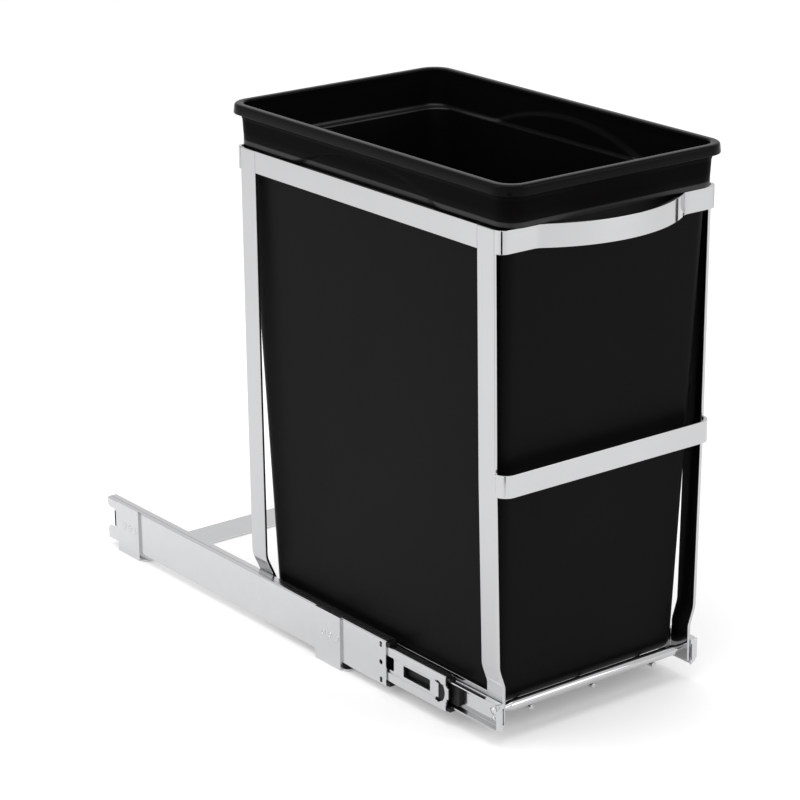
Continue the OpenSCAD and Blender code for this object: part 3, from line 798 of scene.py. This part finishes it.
def build_rods():
    for node in ("front_rod", "rear_rod"):
        low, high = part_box(node)
        r = (high.z - low.z) / 2
        reach = high.x
        profile = [(0, -reach), (r * 0.62, -reach), (r * 0.66, -reach + 6 * MM), (r * 0.9, -reach + 10 * MM),
                   (r, -reach + 13 * MM), (r, 0), (r, reach - 13 * MM), (r * 0.9, reach - 10 * MM),
                   (r * 0.66, reach - 6 * MM), (r * 0.62, reach), (0, reach)]
        middle = (0, (low.y + high.y) / 2, (low.z + high.z) / 2)
        verts, faces = turned(profile, [middle], (1, 0, 0), 40)
        piece = bevelled(mesh_piece(f"{node}_bar", verts, faces, MATS["chrome"]), 0.3 * MM, 2, 30)
        settle(piece, "carriage", "chrome_strip", node)
    for node in ("left_support_wire", "centre_support_wire", "right_support_wire"):
        low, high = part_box(node)
        r = (high.z - low.z) / 2
        half = (high.y - low.y) / 2
        profile = [(0, -half), (r * 0.7, -half), (r, -half + 0.3 * r), (r, half - 0.3 * r),
                   (r * 0.7, half), (0, half)]
        verts, faces = turned(profile, [tuple((low + high) / 2)], (0, 1, 0), 24)
        piece = bevelled(mesh_piece(f"{node}_bar", verts, faces, MATS["chrome"]), 0.2 * MM, 2, 30)
        settle(piece, "carriage", "chrome_strip", node)


build_rods()


# ---- everything that keeps its CAD shape ----

ROUNDED = {"front_cross_bar": 0.4, "rear_cross_bar": 0.4}
for side, _ in SIDES:
    ROUNDED.update({f"{side}_rear_bumper": 0.6, f"{side}_front_guide": 0.5,
                    f"{side}_middle_end_cap": 0.6, f"{side}_release_lever": 0.6})
for name, width in ROUNDED.items():
    bevelled(frame["nodes"][name], width * MM, 2, 30)

SLOT_MATS = {"chrome_strip": "chrome", "zinc_steel": "zinc", "slide_plastic": "nylon",
             "retainer_steel": "retainer", "ball_steel": "ball", "bucket_plastic": "nylon"}
for entry in frame["record"]["subparts"]:
    node = frame["nodes"][entry["node"]]
    mat = MATS[SLOT_MATS[entry["material_slot"]]]
    for index in range(len(node.data.materials)):
        node.data.materials[index] = mat
    if not node.data.materials:
        node.data.materials.append(mat)


# ---- studio ----

def build_floor():
    bpy.ops.mesh.primitive_plane_add(size=24, location=(0, 0, -0.0005))
    floor = bpy.context.object
    floor.name = "studio_floor"
    mat, tree, shader = new_material("studio_floor", (0.8, 0.8, 0.8), 0.0, 0.75, 0.1)
    shader.inputs["Emission Color"].default_value = (1, 1, 1, 1)
    shader.inputs["Emission Strength"].default_value = 0.22
    floor.data.materials.append(mat)


def area_light(name, place, target, size, power, size_y=None):
    data = bpy.data.lights.new(name, "AREA")
    data.shape = "RECTANGLE"
    data.size = size
    data.size_y = size_y or size
    data.energy = power
    light = bpy.data.objects.new(name, data)
    light.location = place
    light.rotation_euler = (Vector(target) - Vector(place)).to_track_quat("-Z", "Y").to_euler()
    bpy.context.scene.collection.objects.link(light)


def dark_card(name, start, end, height):
    """Upright black card that only the bright parts mirror."""
    card = mesh_piece(name, [(*start, 0), (*end, 0), (*end, height), (*start, height)],
                      [(0, 1, 2, 3)], new_material(name, (0.002, 0.002, 0.002), 0, 0.9, 0)[0])
    for ray in ("camera", "diffuse", "shadow", "transmission", "volume_scatter"):
        setattr(card, f"visible_{ray}", False)


def build_studio():
    build_floor()
    dark_card("corner_card", (-0.66, -0.78), (-0.5, -0.92), 0.3)
    dark_card("bow_card", (1.0, -0.385), (1.0, -0.3), 0.3)
    world = bpy.data.worlds.new("studio")
    world.use_nodes = True
    world.node_tree.nodes["Background"].inputs["Color"].default_value = (1, 1, 1, 1)
    world.node_tree.nodes["Background"].inputs["Strength"].default_value = 0.9
    bpy.context.scene.world = world
    target = (0, carriage_y, 0.2)
    area_light("top_softbox", (-0.3, -0.3, 2.4), target, 2.2, 26)
    area_light("left_softbox", (-2.2, 0.4, 1.3), target, 1.6, 12)
    area_light("front_softbox", (1.1, -2.4, 1.2), target, 1.4, 9)


def build_camera():
    """Long lens, a little above the rim, from the front left."""
    azimuth, elevation, roll = (math.radians(a) for a in (-37.33, 18.93, -0.518))
    distance = 2.62
    aim = (cad_low + cad_high) / 2 + Vector((0, -0.0055, -0.034))
    aim.x = 0
    ahead = Vector((-math.sin(azimuth) * math.cos(elevation),
                    math.cos(azimuth) * math.cos(elevation), -math.sin(elevation)))
    right = Vector((math.cos(azimuth), math.sin(azimuth), 0))
    up = right.cross(ahead)
    tilted_right = right * math.cos(roll) + up * math.sin(roll)
    tilted_up = up * math.cos(roll) - right * math.sin(roll)
    data = bpy.data.cameras.new("camera")
    data.lens = 128.6
    data.sensor_width = 36
    camera = bpy.data.objects.new("camera", data)
    turn = Matrix((tilted_right, tilted_up, -ahead)).transposed().to_4x4()
    camera.matrix_world = Matrix.Translation(aim - ahead * distance) @ turn
    bpy.context.scene.collection.objects.link(camera)
    bpy.context.scene.camera = camera


build_studio()
build_camera()

scene = bpy.context.scene
scene.view_settings.view_transform = "Standard"
